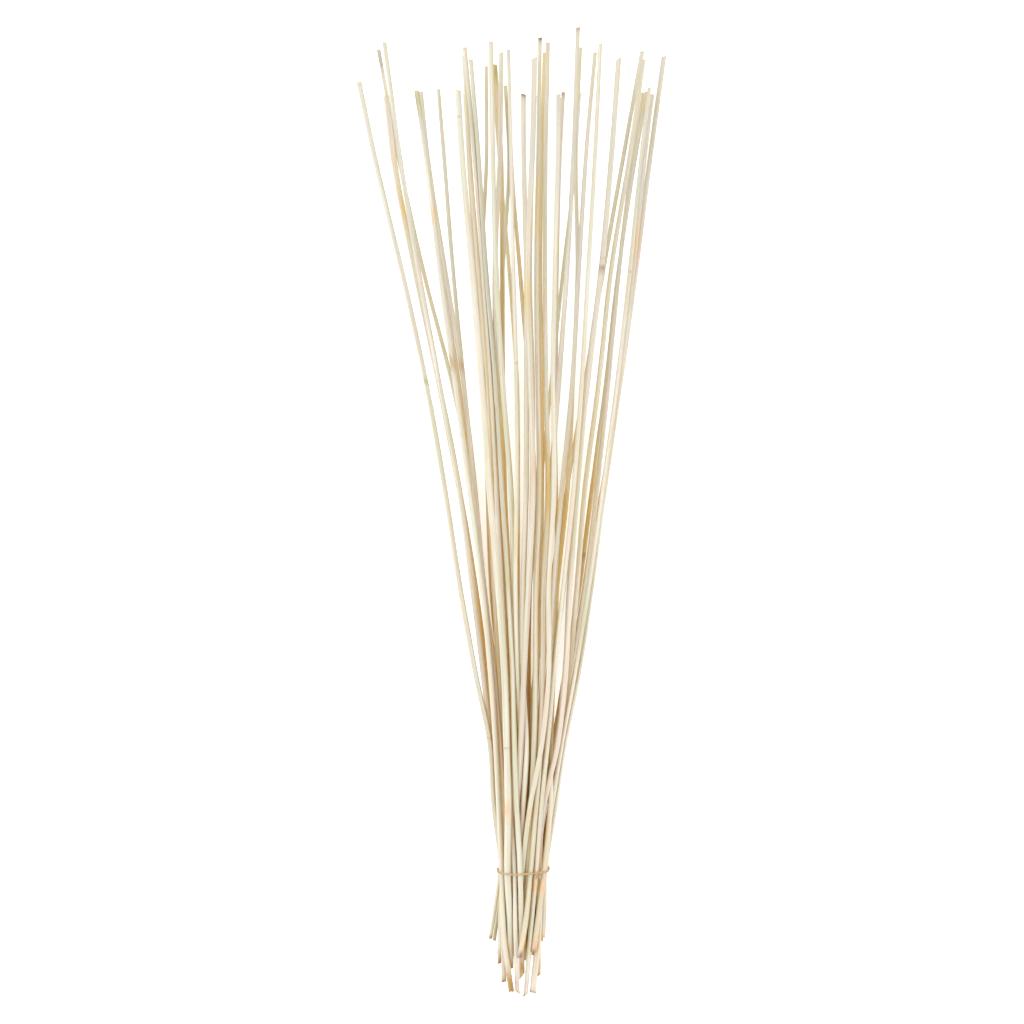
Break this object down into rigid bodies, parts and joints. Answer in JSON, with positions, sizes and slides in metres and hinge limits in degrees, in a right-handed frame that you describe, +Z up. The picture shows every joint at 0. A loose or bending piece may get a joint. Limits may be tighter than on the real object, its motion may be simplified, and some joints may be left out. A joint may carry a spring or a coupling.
{
  "type": "bunch of reeds",
  "caption": "Bunch of long, thin, peeled dried reed stems, tied with a knotted cord near the cut butts, lying on its side and fanned out towards the tips.",
  "frame": {"origin": "on the surface that the bunch lies on, under the middle of its bounding box", "axes": "+Y along the bunch, from the cut butts to the tips; +X across the bunch, to the right seen from above with the tips away; +Z up"},
  "size_m": [0.3264, 1.0014, 0.1243],
  "materials": {
    "ivory_reed": "satin",
    "green_reed": "satin",
    "pink_reed": "satin",
    "straw_reed": "satin",
    "golden_reed": "satin",
    "cord": "matte"
  },
  "bodies": {
    "root": {"reed_a1": "ivory_reed", "reed_a2": "green_reed", "reed_a3": "ivory_reed", "reed_a4": "pink_reed", "reed_b1": "ivory_reed", "reed_b2": "pink_reed", "reed_b3": "green_reed", "reed_c1": "ivory_reed", "reed_c2": "ivory_reed", "reed_c3": "straw_reed", "reed_c4": "green_reed", "reed_d1": "straw_reed", "reed_d2": "green_reed", "reed_d3": "golden_reed", "reed_d4": "pink_reed", "reed_d5": "ivory_reed", "reed_d6": "ivory_reed", "reed_d7": "golden_reed", "reed_e1": "ivory_reed", "reed_f1": "pink_reed", "reed_f2": "straw_reed", "reed_f3": "golden_reed", "reed_f4": "straw_reed", "reed_g1": "ivory_reed", "reed_g2": "pink_reed", "reed_h1": "ivory_reed", "reed_h2": "straw_reed", "reed_h3": "green_reed", "reed_i1": "ivory_reed", "reed_i2": "ivory_reed", "reed_j1": "pink_reed", "reed_k1": "green_reed", "reed_k2": "straw_reed", "reed_k3": "ivory_reed", "reed_k4": "ivory_reed", "reed_k5": "ivory_reed", "reed_k6": "green_reed", "reed_l1": "pink_reed", "reed_n1": "pink_reed", "reed_n2": "straw_reed", "reed_n3": "straw_reed", "reed_n4": "straw_reed", "reed_n5": "green_reed", "reed_n6": "straw_reed", "tie_band": "cord"}
  },
  "joints": []
}
